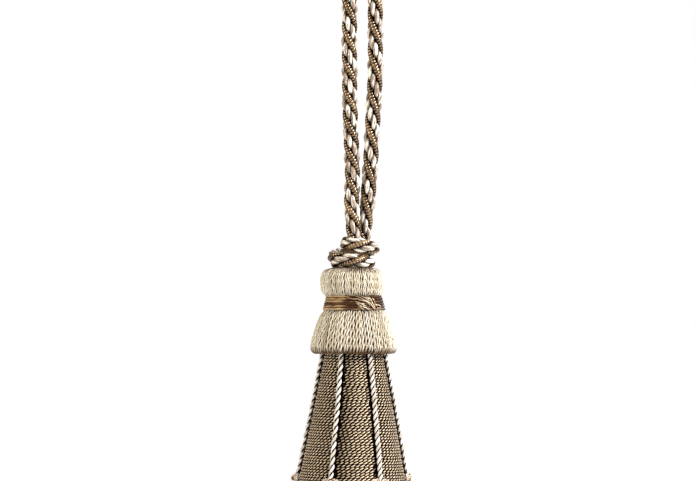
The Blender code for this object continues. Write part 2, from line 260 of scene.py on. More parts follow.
def twist_angles(lines, lead):
    """Turn at each point of lines twisted at a lead; a negative lead twists to the left."""
    steps = np.diff(run_length(lines), axis=-1)
    lead = np.broadcast_to(lead, steps.shape)
    turns = np.cumsum(TURN * steps / lead, axis=-1)
    return np.concatenate([np.zeros(turns.shape[:-1] + (1,)), turns], axis=-1)


def wind(lines, guide, radius, angles):
    """Lines wound round other lines, and the directions from the middle to them."""
    _, normal, side = line_frames(lines, guide)
    out = np.cos(angles)[..., None] * normal + np.sin(angles)[..., None] * side
    return lines + np.asarray(radius)[..., None] * out, out


def drift(z):
    """Sideways stray of the tassel's middle at heights."""
    table = np.array(DRIFT_MM[::-1])
    return np.interp(z, table[:, 0], table[:, 1])


def cone_radius(z):
    """Radius of the cone's surface at heights."""
    share = (HEAD_BOTTOM_Z - np.asarray(z)) / (HEAD_BOTTOM_Z - CONE_BOTTOM_Z)
    return CONE_TOP_RADIUS + share * (CONE_BOTTOM_RADIUS - CONE_TOP_RADIUS)


def around(angle, reach, z):
    """Points at an angle from the front to the right, at a distance from the stray middle."""
    angle, reach, z = np.broadcast_arrays(angle, reach, z)
    return np.stack([reach * np.sin(angle) + drift(z), -reach * np.cos(angle), z], axis=-1)


def waves(where, seed, periods, rows=1):
    """Smooth uneven values about 0, one row for each seed, from a few waves."""
    rng = np.random.default_rng(seed)
    total = np.zeros((rows,) + np.shape(where))
    for period in periods:
        phase = rng.uniform(0.0, TURN, (rows,) + (1,) * np.ndim(where))
        stretch = rng.uniform(0.8, 1.25, (rows,) + (1,) * np.ndim(where))
        total += np.sin(TURN * np.asarray(where)[None] / (period * stretch) + phase)
    return total / len(periods)


# Meshes of many yarns

# First seed of the tubes' tones and fibres, how far their fibres are shifted apart, and their lead
TUBE_SEED = 1000
FIBRE_SHIFT = 500.0
FIBRE_LEAD = 30.0
TURNED_TONE = 0.5


class Yarns:
    """Gathers tubes of yarn, and turned surfaces, into one mesh."""

    def __init__(self):
        self.points = []
        self.quads = []
        self.slots = []
        self.grain = []
        self.across = []
        self.depth = []
        self.tone = []
        self.count = 0
        self.seed = 0

    def grid(self, points, slot, grain, across, depth, tone):
        """Add sheets of quads: points are (sheets, rows, columns, 3), closed across the columns."""
        sheets, rows, columns, _ = points.shape
        index = self.count + np.arange(sheets * rows * columns).reshape(sheets, rows, columns)
        after = np.roll(index, -1, axis=2)
        quads = np.stack([index[:, :-1], after[:, :-1], after[:, 1:], index[:, 1:]], axis=-1)
        self.points.append(points.reshape(-1, 3))
        self.quads.append(quads.reshape(-1, 4))
        self.slots.append(np.full(quads.size // 4, slot))
        self.grain.append(np.broadcast_to(grain, points.shape).reshape(-1, 3))
        self.across.append(np.broadcast_to(across, points.shape).reshape(-1, 3))
        self.depth.append(np.broadcast_to(depth, points.shape[:3]).reshape(-1))
        self.tone.append(np.broadcast_to(tone, points.shape[:3]).reshape(-1))
        self.count += sheets * rows * columns

    def tubes(self, lines, guide, radius, sides, slot, depth, tone=None, ridges=None):
        """Add a tube along each line; depth(points) says how far out of the hollows they are."""
        if lines.ndim == 2:
            lines = lines[None]
        _, normal, side = line_frames(lines, guide)
        around_tube = TURN * np.arange(sides) / sides
        cosine = np.cos(around_tube)[:, None]
        sine = np.sin(around_tube)[:, None]
        outward = cosine * normal[:, :, None] + sine * side[:, :, None]
        across = cosine * side[:, :, None] - sine * normal[:, :, None]
        run = run_length(lines)
        radius = np.broadcast_to(radius, lines.shape[:2])[:, :, None]
        if ridges is not None:
            radius = radius + ridges(run[:, :, None], around_tube[None, None])
        points = lines[:, :, None] + radius[..., None] * outward
        rng = np.random.default_rng(TUBE_SEED + self.seed)
        self.seed += 1
        if tone is None:
            tone = rng.uniform(0.0, 1.0, (len(lines), 1, 1))
        spin = around_tube + TURN * run[:, :, None] / FIBRE_LEAD
        shift = rng.uniform(0.0, FIBRE_SHIFT, (len(lines), 1, 1))
        grain = np.stack([
            np.cos(spin), np.sin(spin), np.broadcast_to(run[:, :, None], spin.shape) + shift
        ], axis=-1)
        self.grid(points, slot, grain, across, depth(points), tone)

    def turned(self, profile, sides, depth):
        """Add a surface turned about the stray middle: rows of radius and height."""
        angle = TURN * np.arange(sides) / sides
        reach = np.array([row[0] for row in profile])[:, None]
        z = np.array([row[1] for row in profile])[:, None]
        points = around(-angle[None], reach, z)
        across = np.stack([np.cos(angle), np.sin(angle), 0 * angle], axis=-1)
        self.grid(points[None], 0, points[None], across[None, None], depth, TURNED_TONE)

    def piece(self, name, materials):
        """The gathered mesh as an object."""
        points = np.concatenate(self.points) * MM
        quads = np.concatenate(self.quads)
        mesh = bpy.data.meshes.new(name)
        mesh.vertices.add(len(points))
        mesh.vertices.foreach_set("co", points.astype(np.float32).ravel())
        mesh.loops.add(quads.size)
        mesh.loops.foreach_set("vertex_index", quads.astype(np.int32).ravel())
        mesh.polygons.add(len(quads))
        mesh.polygons.foreach_set("loop_start", np.arange(0, quads.size, 4, dtype=np.int32))
        mesh.polygons.foreach_set("use_smooth", np.ones(len(quads), dtype=bool))
        for material in materials:
            mesh.materials.append(material)
        mesh.polygons.foreach_set("material_index", np.concatenate(self.slots).astype(np.int32))
        for label, kind, values in (
            ("grain", "FLOAT_VECTOR", self.grain),
            ("across", "FLOAT_VECTOR", self.across),
            ("depth", "FLOAT", self.depth),
            ("tone", "FLOAT", self.tone),
        ):
            layer = mesh.attributes.new(label, kind, "POINT")
            key = "vector" if kind == "FLOAT_VECTOR" else "value"
            layer.data.foreach_set(key, np.concatenate(values).astype(np.float32).ravel())
        mesh.update(calc_edges=True)
        mesh.validate()
        piece = bpy.data.objects.new(name, mesh)
        scene.collection.objects.link(piece)
        return piece


# Materials

# Noise on a yarn: waves across it and along a millimetre, detail, and share beside the streaks
FIBRE_ALONG = 0.22
FIBRE_DETAIL = 4.0
CLOUD_ACROSS = 0.4
CLOUD_ALONG = 0.12
CLOUD_DETAIL = 2.0
CLOUD_SHARE = 0.7
TONE_SHARE = 0.35
RELIEF_STRENGTH = 0.5
RELIEF_HEIGHT = 0.15 * MM


def yarn_material(
    name, dark, light, hollow_shade, roughness, gloss, ior, streaks, hollow_span, tone_span=(0.62, 1.45),
    anisotropic=0.7
):
    """Silky or dull yarn: streaks along its fibres, a tone for each yarn, shade in its hollows.

    hollow_span is the depth at which the shade ends and the full colour starts, and tone_span the
    same for the dark and the light colour. The shade is painted: the hollow colour is blended in and
    the gloss fades out with it. On the cone's rows and the band the tone also carries painted light
    and shade by angle.
    """
    material = bpy.data.materials.new(name)
    material.use_nodes = True
    nodes = material.node_tree.nodes
    link = material.node_tree.links.new
    shader = nodes["Principled BSDF"]

    def attribute(label):
        node = nodes.new("ShaderNodeAttribute")
        node.attribute_name = label
        return node

    def ramp(value, low, high):
        node = nodes.new("ShaderNodeMapRange")
        node.interpolation_type = "SMOOTHSTEP"
        node.inputs["From Min"].default_value = low
        node.inputs["From Max"].default_value = high
        link(value, node.inputs["Value"])
        return node.outputs["Result"]

    def noise(scale, detail):
        mapping = nodes.new("ShaderNodeMapping")
        mapping.inputs["Scale"].default_value = scale
        link(attribute("grain").outputs["Vector"], mapping.inputs["Vector"])
        node = nodes.new("ShaderNodeTexNoise")
        node.inputs["Scale"].default_value = 1.0
        node.inputs["Detail"].default_value = detail
        link(mapping.outputs["Vector"], node.inputs["Vector"])
        return node.outputs["Fac"]

    def blend(factor, low, high):
        node = nodes.new("ShaderNodeMix")
        node.data_type = "RGBA"
        link(factor, node.inputs["Factor"])
        for socket, value in ((node.inputs[6], low), (node.inputs[7], high)):
            if isinstance(value, tuple):
                socket.default_value = (*value, 1.0)
            else:
                link(value, socket)
        return node.outputs[2]

    def add(first, second, share):
        node = nodes.new("ShaderNodeMath")
        node.operation = "MULTIPLY_ADD"
        link(second, node.inputs[0])
        node.inputs[1].default_value = share
        link(first, node.inputs[2])
        return node.outputs["Value"]

    fibre = noise((streaks, streaks, FIBRE_ALONG), FIBRE_DETAIL)
    cloud = noise((CLOUD_ACROSS, CLOUD_ACROSS, CLOUD_ALONG), CLOUD_DETAIL)
    tone = attribute("tone").outputs["Fac"]
    mixed = add(add(fibre, cloud, CLOUD_SHARE), tone, TONE_SHARE)
    surface = blend(ramp(mixed, *tone_span), dark, light)
    # Painted shade: the hollow colour, and less gloss, where the depth is low
    raised = ramp(attribute("depth").outputs["Fac"], *hollow_span)
    coloured = blend(raised, hollow_shade, surface)
    link(coloured, shader.inputs["Base Color"])
    shader.inputs["Roughness"].default_value = roughness
    shine = nodes.new("ShaderNodeMath")
    shine.operation = "MULTIPLY"
    link(raised, shine.inputs[0])
    shine.inputs[1].default_value = gloss
    link(shine.outputs["Value"], shader.inputs["Specular IOR Level"])
    shader.inputs["IOR"].default_value = ior
    tint = (math.sqrt(part / max(light)) for part in light)
    shader.inputs["Specular Tint"].default_value = (*tint, 1.0)
    shader.inputs["Anisotropic"].default_value = anisotropic
    link(attribute("across").outputs["Vector"], shader.inputs["Tangent"])
    relief = nodes.new("ShaderNodeBump")
    relief.inputs["Strength"].default_value = RELIEF_STRENGTH
    relief.inputs["Distance"].default_value = RELIEF_HEIGHT
    link(fibre, relief.inputs["Height"])
    link(relief.outputs["Normal"], shader.inputs["Normal"])
    return material


def plain_material(name, colour, roughness):
    """Matt paper-like material for the floor."""
    material = bpy.data.materials.new(name)
    material.use_nodes = True
    shader = material.node_tree.nodes["Principled BSDF"]
    shader.inputs["Base Color"].default_value = (*colour, 1.0)
    shader.inputs["Roughness"].default_value = roughness
    return material


ROPE_CREAM = yarn_material(
    "rope_cream", dark=(0.24, 0.165, 0.115), light=(0.88, 0.835, 0.745), hollow_shade=(0.02, 0.009, 0.004),
    roughness=0.42, gloss=0.5, ior=1.5, streaks=1.9, hollow_span=(0.62, 0.92),
    tone_span=(1.02, 1.24),
)
ROPE_BROWN = yarn_material(
    "rope_brown", dark=(0.06, 0.03, 0.013), light=(0.27, 0.165, 0.08), hollow_shade=(0.007, 0.0035, 0.0015),
    roughness=0.26, gloss=0.95, ior=1.8, streaks=3.0, hollow_span=(0.7, 0.94),
    tone_span=(0.8, 1.34), anisotropic=0.2,
)
HEAD_CREAM = yarn_material(
    "head_cream", dark=(0.41, 0.325, 0.2), light=(0.76, 0.715, 0.625), hollow_shade=(0.075, 0.034, 0.013),
    roughness=0.36, gloss=0.6, ior=1.5, streaks=3.0, hollow_span=(0.3, 0.85),
)
# A lighter copy of the band's brown for the crossing threads: painted highlights on the same thread
BAND_PAINTED_SHINE = yarn_material(
    "band_painted_shine", dark=(0.26, 0.16, 0.08), light=(0.76, 0.6, 0.4), hollow_shade=(0.003, 0.0015, 0.001),
    roughness=0.28, gloss=0.9, ior=1.8, streaks=4.0, hollow_span=(0.6, 0.96),
)
BAND_BROWN = yarn_material(
    "band_brown", dark=(0.05, 0.018, 0.007), light=(0.48, 0.31, 0.155), hollow_shade=(0.003, 0.0015, 0.001),
    roughness=0.36, gloss=0.28, ior=1.5, streaks=4.0, hollow_span=(0.6, 0.96),
    tone_span=(0.76, 1.2),
)
CONE_BROWN = yarn_material(
    "cone_brown", dark=(0.19, 0.11, 0.047), light=(0.73, 0.56, 0.375), hollow_shade=(0.003, 0.0015, 0.001),
    roughness=0.3, gloss=0.9, ior=1.8, streaks=3.0, hollow_span=(0.69, 0.93),
)
CORD_CREAM = yarn_material(
    "cord_cream", dark=(0.44, 0.36, 0.29), light=(0.85, 0.82, 0.79), hollow_shade=(0.016, 0.011, 0.008),
    roughness=0.42, gloss=0.5, ior=1.5, streaks=2.4, hollow_span=(0.66, 0.96),
    tone_span=(0.84, 1.3),
)
SKIRT_BROWN = yarn_material(
    "skirt_brown", dark=(0.12, 0.07, 0.032), light=(0.44, 0.3, 0.17), hollow_shade=(0.005, 0.0025, 0.0012),
    roughness=0.36, gloss=0.8, ior=1.7, streaks=3.0, hollow_span=(0.58, 0.95),
)
FLOOR_PALE = plain_material("floor_pale", (0.9, 0.9, 0.9), 0.8)


# Camera: a long lens, level with the middle of the photo

PHOTO_WIDTH = 696
PHOTO_HEIGHT = 481
MM_PER_PIXEL = 0.6

# The tassel's axis in the photo, and how far the photo's upper edge is below the origin
AXIS_PIXEL = 352.5
UPPER_EDGE_BELOW = 52.0
LENS = 400.0
SENSOR = 36.0
FARTHEST_SEEN = 50.0
AIM_X = (PHOTO_WIDTH / 2 - AXIS_PIXEL) * MM_PER_PIXEL
AIM_Z = -(UPPER_EDGE_BELOW + MM_PER_PIXEL * PHOTO_HEIGHT / 2)
DISTANCE = PHOTO_WIDTH * MM_PER_PIXEL * LENS / SENSOR

camera_data = bpy.data.cameras.new("camera")
camera_data.lens = LENS
camera_data.sensor_width = SENSOR
camera_data.clip_end = FARTHEST_SEEN
camera = bpy.data.objects.new("camera", camera_data)
scene.collection.objects.link(camera)
camera.location = (AIM_X * MM, -DISTANCE * MM, AIM_Z * MM)
camera.rotation_euler = (math.pi / 2, 0.0, 0.0)
scene.camera = camera


# The rope, and the loop made of it

# Thread turns on the gimp: step along it, shape of a ridge, and how dark and narrow the painted shade
# in a groove is
GIMP_STEP = 0.28
RIDGE_POWER = 0.7
RIDGE_MIDDLE = 0.6
GROOVE_SHADE = 0.24
GROOVE_POWER = 1.5

# Cream plies: step along them, sides of a tube, the painted shade in the slit between them, and tone
PLY_STEP = 0.8
PLY_SIDES = 10
PLY_SLIT_SHADE = 0.28
ROPE_CREAM_TONE = 0.7

# Material slots of a piece made of rope
BROWN_SLOT = 0
CREAM_SLOT = 1

# How far each leg's end runs on into the knot, where it is hidden
LEG_END = np.array((0.0, 0.0, -4.0))


def gimp_ridges(scale):
    """Height of the fine turns of thread round a gimp strand."""
    def ridges(run, angle):
        wrap = np.pi * (run / (GIMP_WRAP_PITCH * scale) - angle / TURN)
        return GIMP_RIDGE * scale * (np.abs(np.sin(wrap)) ** RIDGE_POWER - RIDGE_MIDDLE)
    return ridges


def lay_rope(yarns, points, guide, lead, phase, scale, plies):
    """A four-strand rope: two strands of brown gimp, and between them two of cream plies."""
    outer = ROPE_OUTER * scale
    ply_count, ply_radius, ply_centre, ply_lead = plies

    # Painted shade: darker nearer the rope's middle, in the grooves between the gimp's turns and in the
    # slits between the plies
    def near(route):
        return lambda points: np.linalg.norm(points - route[None, :, None], axis=-1) / outer

    def grooved(route, strand):
        run = run_length(strand)[None, :, None]
        turn = np.arange(GIMP_SIDES) / GIMP_SIDES
        groove = 1.0 - np.abs(np.sin(np.pi * (run / (GIMP_WRAP_PITCH * scale) - turn)))
        return lambda points: near(route)(points) - GROOVE_SHADE * groove ** GROOVE_POWER

    def between(route, strand, reach):
        def depth(points):
            from_strand = np.linalg.norm(points - strand[None, :, None], axis=-1) / reach
            slit = PLY_SLIT_SHADE + (1.0 - PLY_SLIT_SHADE) * from_strand
            return np.minimum(near(route)(points), slit)
        return depth

    for quarter in range(4):
        brown = quarter % 2 == 0
        route = smooth_line(points, (GIMP_STEP if brown else PLY_STEP) * scale)
        leads = np.interp(np.linspace(0.0, 1.0, len(route) - 1), *lead)
        angles = phase + TURN * quarter / 4 + twist_angles(route, leads)
        strand, out = wind(route, guide, np.full(len(route), STRAND_CENTRE * scale), angles)
        if brown:
            yarns.tubes(
                strand, out, GIMP_RADIUS * scale, GIMP_SIDES, BROWN_SLOT, grooved(route, strand),
                ridges=gimp_ridges(scale),
            )
            continue
        for ply in range(ply_count):
            turn = TURN * ply / ply_count + twist_angles(strand, ply_lead * scale)
            line, ply_out = wind(strand, out, np.full(len(route), ply_centre * scale), turn)
            yarns.tubes(
                line, ply_out, ply_radius * scale, PLY_SIDES, CREAM_SLOT,
                between(route, strand, (ply_centre + ply_radius) * scale), tone=ROPE_CREAM_TONE,
            )


def lay_loop():
    """The rope loop with its two legs."""
    yarns = Yarns()
    points = np.array(ROPE_ROUTE_MM)
    legs = np.vstack([points[:1] + LEG_END, points, points[-1:] + LEG_END])
    end_turn = TURN * LEG_END[2] / ROPE_LEADS[1][0]
    lay_rope(yarns, legs, (0.0, 1.0, 0.0), ROPE_LEADS, ROPE_PHASE + end_turn, 1.0, LEG_PLIES)
    return yarns.piece("rope_loop", (ROPE_BROWN, ROPE_CREAM))


rope_loop = lay_loop()
rope_path = smooth_line(ROPE_ROUTE_MM, 2.0)
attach(rope_loop, "root")
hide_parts("hanging_cord")


# The knot

KNOT_STEP_DEGREES = 15.0
KNOT_CORE_SIDES = 32
# The knot's core: how far out of the hollows it counts, which darkens it with painted shade, and its
# tone
KNOT_CORE_DEPTH = 0.8
KNOT_CORE_TONE = 0.2


def knot_points():
    """Places along the rope that is wound twice round the neck."""
    table = np.array(KNOT_ROUTE_MM)
    angle = np.concatenate([np.arange(table[0, 0], table[-1, 0], KNOT_STEP_DEGREES), table[-1:, 0]])
    centre_x, radius, z = (np.interp(angle, table[:, 0], table[:, i]) for i in (1, 2, 3))
    turn = np.radians(angle)
    return np.stack([centre_x + radius * np.cos(turn), radius * np.sin(turn), z], axis=-1)


def lay_knot():
    """The rope wound twice round the neck, on a plain core."""
    yarns = Yarns()
    line = knot_points()
    first, last = KNOT_ROUTE_MM[0][0], KNOT_ROUTE_MM[-1][0]
    front_place = (KNOT_FRONT_ANGLE - first) / (last - first) * (len(line) - 1)
    front_run = float(np.interp(front_place, np.arange(len(line)), run_length(line)))
    phase = math.pi / 2 + TURN * front_run / KNOT_LEAD
    leads = ((0.0, 1.0), (-KNOT_LEAD, -KNOT_LEAD))
    lay_rope(yarns, line, (0.0, 0.0, 1.0), leads, phase, KNOT_SCALE, KNOT_PLIES)
    angle = TURN * np.arange(KNOT_CORE_SIDES) / KNOT_CORE_SIDES
    rows = []
    for centre_x, radius, z in KNOT_CORE_MM:
        rows.append(np.stack([
            centre_x + radius * np.cos(angle), radius * np.sin(angle), np.full(KNOT_CORE_SIDES, z)
        ], axis=-1))
    core = np.array(rows)[None]
    yarns.grid(core, BROWN_SLOT, core, (0.0, 0.0, 1.0), KNOT_CORE_DEPTH, KNOT_CORE_TONE)
    return yarns.piece("rope_knot", (ROPE_BROWN, ROPE_CREAM))


knot_piece = lay_knot()
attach(knot_piece, "root")
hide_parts("knot")


# The head

# How much of the light the yarns' hollows keep: distance below the origin, and share
HEAD_SHADE = (
    (211.0, 214.2, 217.0, 226.0, 229.0, 239.0, 243.0, 259.6, 261.4, 263.4),
    (0.45, 0.7, 1.12, 1.1, 0.88, 0.82, 0.95, 0.95, 0.7, 0.47),
)

# How far the hollows even out at the rim: distance below the origin, and share
HEAD_RIM = ((260.6, 262.4), (0.0, 0.6))
HEAD_RIM_DEPTH = 0.85

# A ply's radius and the distance of its middle: share of the yarns' pitch, least and most
HEAD_PLY_RADIUS = (0.31, 0.3, 0.55)
HEAD_PLY_CENTRE = (0.24, 0.2, 0.48)
HEAD_PLY_SINK = 0.8
HEAD_PLY_SIDES = 7

# Step along a yarn, its sideways sway in pitches, how far it lifts, and uneven shade between yarns
HEAD_STEP = 0.95
HEAD_SWAY = 0.16
HEAD_LIFT = 0.12
HEAD_PATCHES = 0.12
HEAD_CORE_BELOW = 1.5
HEAD_CORE_SIDES = 60

# Seeds and wave lengths of the sway, the lift and the patches; spread of the yarns' places and leads
HEAD_SEED = 7
HEAD_SWAY_WAVES = (11, (60.0, 23.0, 14.0))
HEAD_LIFT_WAVES = (12, (40.0, 17.0))
HEAD_PATCH_WAVES = (15, (1.9, 0.8, 0.37))
HEAD_PLACE_SPREAD = 0.1
HEAD_LEAD_SPREAD = 0.1


def lay_head():
    """Two-ply yarns laid side by side from under the knot, over the waist, to under the rim."""
    yarns = Yarns()
    profile = smooth_line(HEAD_LAY_MM, HEAD_STEP)
    run = run_length(profile)
    along = unit(np.gradient(profile, axis=0))
    inward = np.stack([along[:, 1], -along[:, 0]], axis=-1)
    rng = np.random.default_rng(HEAD_SEED)
    places = np.arange(HEAD_YARNS) + rng.uniform(-HEAD_PLACE_SPREAD, HEAD_PLACE_SPREAD, HEAD_YARNS)
    angle = TURN * places / HEAD_YARNS
    pitch = TURN * profile[:, 0] / HEAD_YARNS

    def of_pitch(share, least, most):
        return np.clip(share * pitch, least, most)

    ply_radius = of_pitch(*HEAD_PLY_RADIUS)
    ply_centre = of_pitch(*HEAD_PLY_CENTRE)
    sunk = profile + inward * (ply_radius + ply_centre * HEAD_PLY_SINK)[:, None]
    sway = waves(run, *HEAD_SWAY_WAVES, HEAD_YARNS) * HEAD_SWAY * TURN / HEAD_YARNS
    lift = waves(run, *HEAD_LIFT_WAVES, HEAD_YARNS) * HEAD_LIFT
    reach = sunk[None, :, 0] - inward[None, :, 0] * lift
    z = sunk[None, :, 1] - inward[None, :, 1] * lift
    yarn_angle = angle[:, None] + sway
    lines = around(yarn_angle, reach, z)
    out = np.stack([
        -inward[None, :, 0] * np.sin(yarn_angle), inward[None, :, 0] * np.cos(yarn_angle),
        np.broadcast_to(-inward[None, :, 1], yarn_angle.shape),
    ], axis=-1)
    start = rng.uniform(0.0, TURN, (HEAD_YARNS, 1))
    stretch = rng.uniform(1.0 - HEAD_LEAD_SPREAD, 1.0 + HEAD_LEAD_SPREAD, (HEAD_YARNS, 1))
    lead = HEAD_PLY_LEAD * stretch
    half = (ply_radius + ply_centre)[None, :, None]
    tone = rng.uniform(0.0, 1.0, (HEAD_YARNS, 1, 1))
    shade = np.interp(-profile[:, 1], *HEAD_SHADE)
    patches = waves(angle, *HEAD_PATCH_WAVES)[0][:, None] * HEAD_PATCHES
    rim = np.interp(-profile[:, 1], *HEAD_RIM)[None, :, None]

    def depth(points):
        height = np.sum((points - lines[:, :, None]) * out[:, :, None], axis=-1)
        raised = (0.5 + 0.5 * height / half) * (1.0 - rim) + HEAD_RIM_DEPTH * rim
        return raised * (shade[None] * (1.0 + patches))[..., None]

    for ply in range(2):
        turn = start + math.pi * ply + twist_angles(lines, lead)
        line, ply_out = wind(lines, out, np.broadcast_to(ply_centre, turn.shape), turn)
        yarns.tubes(line, ply_out, ply_radius, HEAD_PLY_SIDES, 0, depth, tone=tone)
    # The core under the yarns has depth 0, the hollow colour: a dark sheet that stands for painted
    # shade between the yarns
    core = profile + inward * HEAD_CORE_BELOW
    yarns.turned(core[::2], HEAD_CORE_SIDES, depth=0.0)
    return yarns.piece("head_yarns", (HEAD_CREAM,))


head_piece = lay_head()
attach(head_piece, "root")
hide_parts("head")


# The waist band

BAND_THREADS = 6
BAND_TOP = (16.7, -229.0)
BAND_BOTTOM = (19.1, -238.0)
BAND_THREAD_RADIUS = 0.74
BAND_THREAD_SIDES = 8

# The second layer lies in the first one's hollows: how much lower, and how much darker with painted
# shade
BAND_LAYER_DROP = 0.5
BAND_LAYER_SHADE = 0.5
BAND_STEPS = 241
BAND_CORE_BELOW = 1.2
BAND_CORE_SIDES = 60

# How far the neat threads wander, within which shares of the height, and the spread of their tones
BAND_SEED = 21
BAND_LAYER_SEEDS = (30, 70)
BAND_WOBBLE = 0.025
BAND_WOBBLE_PERIODS = (2.1, 1.1, 0.5)
BAND_EDGES = (0.04, 0.96)
BAND_TONE_SPREAD = (-0.4, 0.8)

# Painted light and shade on the neat threads, darker from the front round to the right:
# angle from the front in degrees, and tone
BAND_PAINTED_TONES = (
    (-180.0, -90.0, -50.0, -25.0, -8.0, 8.0, 40.0, 60.0, 90.0, 180.0),
    (0.3, 0.2, 0.15, -0.1, -0.8, -0.9, -0.8, -0.7, -0.7, 0.3),
)

# How much light the threads keep: angle from the front in degrees, and share
BAND_SHADE = (
    (-180.0, -100.0, -60.0, 54.0, 66.0, 96.0, 120.0, 180.0),
    (1.0, 0.98, 0.97, 0.97, 0.84, 0.8, 1.0, 1.0),
)

# Threads that cross the others: start angle, end angle, share of the height at each
CROSSING_THREADS = (
    (2.0, 52.0, 0.04, 0.78),
    (12.0, 42.0, 0.03, 0.36),
    (6.0, 36.0, 0.22, 0.62),
    (1.0, 26.0, 0.42, 0.74),
    (4.0, 22.0, 0.5, 0.6),
    (20.0, 38.0, 0.2, 0.44),
    (8.0, 30.0, 0.66, 0.97),
    (3.0, 32.0, 0.57, 0.95),
    (5.0, 20.0, 0.74, 0.97),
    (-16.0, 12.0, 0.2, 0.24),
    (24.0, 40.0, 0.04, 0.5),
    (31.0, 43.0, 0.06, 0.92),
    (37.0, 45.0, 0.06, 0.7),
    (29.0, 41.0, 0.48, 0.97),
    (33.0, 39.0, 0.03, 0.95),
    (16.0, 34.0, 0.1, 0.8),
    (40.0, 62.0, 0.55, 0.8),
    (44.0, 60.0, 0.95, 0.7),
)
CROSSING_RADIUS = 0.46
CROSSING_STEPS = 40
CROSSING_BEND = 0.03
CROSSING_TONES = (-0.2, 1.3)

# A crossing thread comes up between the others, lies over them and goes down again
CROSSING_START_LIFT = -0.9
CROSSING_RISE = 1.6
CROSSING_RISE_POWER = 0.4
CROSSING_LIFT_SPREAD = (-0.1, 0.2)

# How much of a thread's shade follows the height of its surface: neat and crossing threads
NEAT_EDGE = 0.5
CROSSING_EDGE = 0.95


def lay_band():
    """Threads round the waist, with a tangle of crossing threads at the front's right."""
    yarns = Yarns()
    rng = np.random.default_rng(BAND_SEED)

    def lay(angle, share, lift, radius, tone, slot=0, edge=NEAT_EDGE):
        reach = BAND_TOP[0] + share * (BAND_BOTTOM[0] - BAND_TOP[0]) - radius + lift
        z = BAND_TOP[1] + share * (BAND_BOTTOM[1] - BAND_TOP[1])
        lines = around(angle, reach, z)[None]
        middle = np.stack([drift(lines[..., 2]), 0 * lines[..., 0], lines[..., 2]], axis=-1)
        out = unit(lines - middle)
        shade = np.interp(np.degrees(angle), *BAND_SHADE)[None, :, None]

        def depth(points):
            height = np.sum((points - lines[:, :, None]) * out[:, :, None], axis=-1) / radius
            return (1.0 - edge + edge * height) * shade

        yarns.tubes(lines, out, radius, BAND_THREAD_SIDES, slot, depth, tone=tone)

    angle = np.linspace(-math.pi, math.pi, BAND_STEPS)
    # Tone of the neat threads by angle: painted light and shade
    tone = np.interp(np.degrees(angle), *BAND_PAINTED_TONES)
    for layer in range(2):
        for number in range(BAND_THREADS - layer):
            share = (number + 0.5 + 0.5 * layer) / BAND_THREADS
            seed = BAND_LAYER_SEEDS[layer] + number
            wobble = waves(angle, seed, BAND_WOBBLE_PERIODS)[0] * BAND_WOBBLE
            place = np.clip(share + wobble, *BAND_EDGES)
            # The lower layer's tone is darkened: painted shade
            one_tone = tone + rng.uniform(*BAND_TONE_SPREAD) - BAND_LAYER_SHADE * layer
            drop = BAND_LAYER_DROP * layer
            lay(angle, place, -drop, BAND_THREAD_RADIUS, one_tone[None, :, None])
    along = np.linspace(0.0, 1.0, CROSSING_STEPS)
    rise = CROSSING_START_LIFT + CROSSING_RISE * np.sin(math.pi * along) ** CROSSING_RISE_POWER
    for start, end, top, bottom in CROSSING_THREADS:
        bend = CROSSING_BEND * np.sin(TURN * along + rng.uniform(0.0, TURN))
        share = top + along * (bottom - top) + bend
        lift = rise + rng.uniform(*CROSSING_LIFT_SPREAD)
        tone = rng.uniform(*CROSSING_TONES)
        turn = np.radians(start + along * (end - start))
        # Slot 1 is the lighter copy of the band's brown: the crossing threads' painted highlights
        lay(turn, share, lift, CROSSING_RADIUS, tone, 1, CROSSING_EDGE)
    # The core under the threads has depth 0, the hollow colour: a dark sheet that stands for painted
    # shade between them
    core = [(radius - BAND_CORE_BELOW, z) for radius, z in (BAND_TOP, BAND_BOTTOM)]
    yarns.turned(core, BAND_CORE_SIDES, depth=0.0)
    return yarns.piece("band_threads", (BAND_BROWN, BAND_PAINTED_SHINE))


band_piece = lay_band()
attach(band_piece, "root")
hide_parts("waist_band")


# The cone

# Plies of a row: radius, distance of the middle, sides, and how much their tones differ
ROW_PLY_RADIUS = 0.42
ROW_PLY_CENTRE = 0.52
ROW_PLY_SIDES = 5
ROW_PLY_TONES = 0.24
ROW_STEPS_PER_LEAD = 8.0

# How far a row's middle lies under the cone's surface, how far it strays, and where the first row is
ROW_BELOW = 0.62
ROW_STRAY = 0.05
ROW_STRAY_WAVES = (41, (9.0, 5.0, 31.0))
ROW_STRAY_IN_TURN = 17.0
FIRST_ROW_BELOW = 1.1
MEAN_ROW_BELOW = 0.4

# Unevenness of the twist: spread of a row's slip, a larger jump and its chance, and slow waves
TWIST_SEED = 43
SLIP_SPREAD = 0.1
SLIP_JUMP = 0.9
SLIP_JUMP_CHANCE = 0.14
TWIST_STRAY = 0.8
TWIST_WAVES = (44, (23.0, 11.0))
TWIST_STRAY_IN_TURN = 19.0

CONE_CORE_BELOW = 1.0
CONE_CORE_MARGIN = 0.9
CONE_CORE_SIDES = 72

# Shade on the rows at a laid cord: share of light lost, and how sharp its edge is
CORD_SHADE = 0.36
CORD_SHADE_EDGE = 5


def row_height(turns):
    """Height of the rows' middle after so many turns."""
    return HEAD_BOTTOM_Z - FIRST_ROW_BELOW - ROW_PITCH * turns


